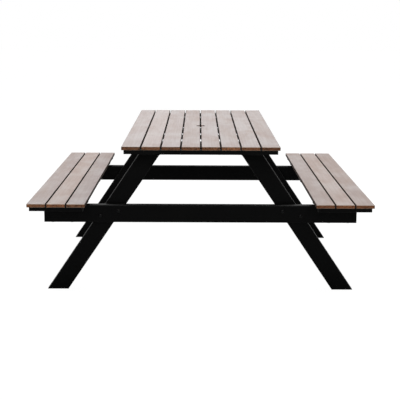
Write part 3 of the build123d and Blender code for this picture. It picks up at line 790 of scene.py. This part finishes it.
def make_floor(scene, settings):
    """A plain pale floor, evenly lit where the camera sees it, and a grey card where it is reflected."""
    half = settings.floor_half
    corners = [(-half, -half, 0), (half, -half, 0), (half, half, 0), (-half, half, 0)]
    mesh = bpy.data.meshes.new("floor")
    mesh.from_pydata(corners, [], [(0, 1, 2, 3)])
    floor = bpy.data.objects.new("floor", mesh)
    scene.collection.objects.link(floor)
    material = bpy.data.materials.new("pale_floor")
    material.use_nodes = True
    tree = material.node_tree
    tree.nodes.clear()
    lit = tree.nodes.new("ShaderNodeEmission")
    lit.inputs["Color"].default_value = (1.0, 1.0, 1.0, 1.0)
    lit.inputs["Strength"].default_value = settings.floor_glow
    shaded = tree.nodes.new("ShaderNodeBsdfDiffuse")
    shaded.inputs["Color"].default_value = (0.85, 0.85, 0.85, 1.0)
    card = tree.nodes.new("ShaderNodeBsdfDiffuse")
    card.inputs["Color"].default_value = (0.30, 0.30, 0.30, 1.0)
    seen, mixed = tree.nodes.new("ShaderNodeMixShader"), tree.nodes.new("ShaderNodeMixShader")
    seen.inputs[0].default_value = settings.floor_shade
    path = tree.nodes.new("ShaderNodeLightPath")
    out = tree.nodes.new("ShaderNodeOutputMaterial")
    join(tree, lit.outputs[0], seen.inputs[1])
    join(tree, shaded.outputs[0], seen.inputs[2])
    join(tree, path.outputs["Is Camera Ray"], mixed.inputs[0])
    join(tree, card.outputs[0], mixed.inputs[1])
    join(tree, seen.outputs[0], mixed.inputs[2])
    join(tree, mixed.outputs[0], out.inputs[0])
    mesh.materials.append(material)
    floor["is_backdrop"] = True


def make_world(scene, settings):
    """A white surround for the camera, whose light comes mostly from overhead and from the far side."""
    world = bpy.data.worlds.new("studio")
    world.use_nodes = True
    scene.world = world
    tree = world.node_tree
    tree.nodes.clear()
    place = tree.nodes.new("ShaderNodeTexCoord")
    parts = tree.nodes.new("ShaderNodeSeparateXYZ")
    join(tree, place.outputs["Generated"], parts.inputs[0])
    overhead = spread(tree, parts.outputs[2], 0.15, 0.95, 0.0, settings.overhead_glow)
    far = spread(tree, parts.outputs[1], 0.0, 0.9, settings.near_glow, settings.far_glow)
    strength = maths(tree, "MAXIMUM", overhead, far)
    path = tree.nodes.new("ShaderNodeLightPath")
    both = maths(tree, "MAXIMUM", strength, path.outputs["Is Camera Ray"])
    backdrop = tree.nodes.new("ShaderNodeBackground")
    backdrop.inputs["Color"].default_value = (1.0, 1.0, 1.0, 1.0)
    join(tree, both, backdrop.inputs["Strength"])
    out = tree.nodes.new("ShaderNodeOutputWorld")
    join(tree, backdrop.outputs[0], out.inputs[0])


def light_list(settings):
    """Name, place, aim, width, height and power of each soft light."""
    return [
        ("overhead_softbox", (0.0, 0.6, 4.2), (0.0, 0.1, 0.4), 4.5, 4.5, settings.key_power),
        ("front_softbox", (0.0, -6.5, 2.6), (0.0, 0.0, 0.5), 3.0, 1.6, settings.fill_power),
        ("left_softbox", (-4.6, 0.4, 1.5), (0.0, 0.0, 0.4), 3.2, 1.8, settings.rim_power),
        ("right_softbox", (4.6, 0.4, 1.5), (0.0, 0.0, 0.4), 3.2, 1.8, settings.rim_power),
    ]


def make_light(scene, name, place, aim, width, height, power):
    """A rectangular soft light that points at the aim."""
    data = bpy.data.lights.new(name, "AREA")
    data.shape = "RECTANGLE"
    data.size, data.size_y = width, height
    data.energy = power
    lamp = bpy.data.objects.new(name, data)
    away = np.asarray(place) - np.asarray(aim)
    away /= np.linalg.norm(away)
    side = np.cross((0.0, 1.0, 0.0) if abs(away[2]) > 0.9 else (0.0, 0.0, 1.0), away)
    side /= np.linalg.norm(side)
    up = np.cross(away, side)
    turn = Matrix(np.stack((side, up, away), axis=1).tolist()).to_4x4()
    lamp.matrix_world = Matrix.Translation(place) @ turn
    scene.collection.objects.link(lamp)


def make_camera(scene, settings):
    """The camera in front of the table's near end, tilted down."""
    data = bpy.data.cameras.new("camera")
    data.sensor_width = 36.0
    data.lens = settings.lens
    data.clip_start, data.clip_end = 0.05, 200.0
    camera = bpy.data.objects.new("camera", data)
    turn = (
        Matrix.Rotation(-settings.yaw, 4, "Z")
        @ Matrix.Rotation(math.pi / 2 - settings.pitch, 4, "X")
        @ Matrix.Rotation(settings.roll, 4, "Z")
    )
    place = (settings.camera_x, settings.camera_y, settings.camera_z)
    camera.matrix_world = Matrix.Translation(place) @ turn
    scene.collection.objects.link(camera)
    scene.camera = camera


# ---- Panel and registration -----------------------------------------------------------------


class PICNIC_PT_panel(bpy.types.Panel):
    """Lists the table's operators and settings"""

    bl_label = "Picnic Table"
    bl_idname = "PICNIC_PT_panel"
    bl_space_type = "VIEW_3D"
    bl_region_type = "UI"
    bl_category = "Picnic Table"

    def draw(self, context):
        for operator in OPERATORS:
            self.layout.operator(operator.bl_idname)
        for name, group in GROUPS.items():
            box = self.layout.box()
            box.label(text=group.__doc__)
            for setting in group.__annotations__:
                box.prop(getattr(context.scene, name), setting)


GROUPS = {
    "picnic_boards": PICNIC_PG_boards,
    "picnic_steel": PICNIC_PG_steel,
    "picnic_trim": PICNIC_PG_trim,
    "picnic_welds": PICNIC_PG_welds,
    "picnic_studio": PICNIC_PG_studio,
}
OPERATORS = [
    PICNIC_OT_top_boards,
    PICNIC_OT_bench_boards,
    PICNIC_OT_steel_frame,
    PICNIC_OT_plastic_trim,
    PICNIC_OT_fasteners,
    PICNIC_OT_weld_beads,
    PICNIC_OT_stage,
]


def register():
    for kind in (*GROUPS.values(), *OPERATORS, PICNIC_PT_panel):
        bpy.utils.register_class(kind)
    for name, group in GROUPS.items():
        setattr(bpy.types.Scene, name, PointerProperty(type=group))


def unregister():
    for name in GROUPS:
        delattr(bpy.types.Scene, name)
    for kind in reversed((*GROUPS.values(), *OPERATORS, PICNIC_PT_panel)):
        bpy.utils.unregister_class(kind)


def main():
    """Registers the classes, makes every piece in order, and works out the two boxes."""
    register()
    for operator in OPERATORS:
        group, call = operator.bl_idname.split(".")
        getattr(getattr(bpy.ops, group), call)()
    bpy.context.view_layer.update()
    boxes = {"cad": CAD_BOX, "visual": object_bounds()}
    boxes = {name: [list(corner) for corner in box] for name, box in boxes.items()}


if __name__ == "__main__":
    main()
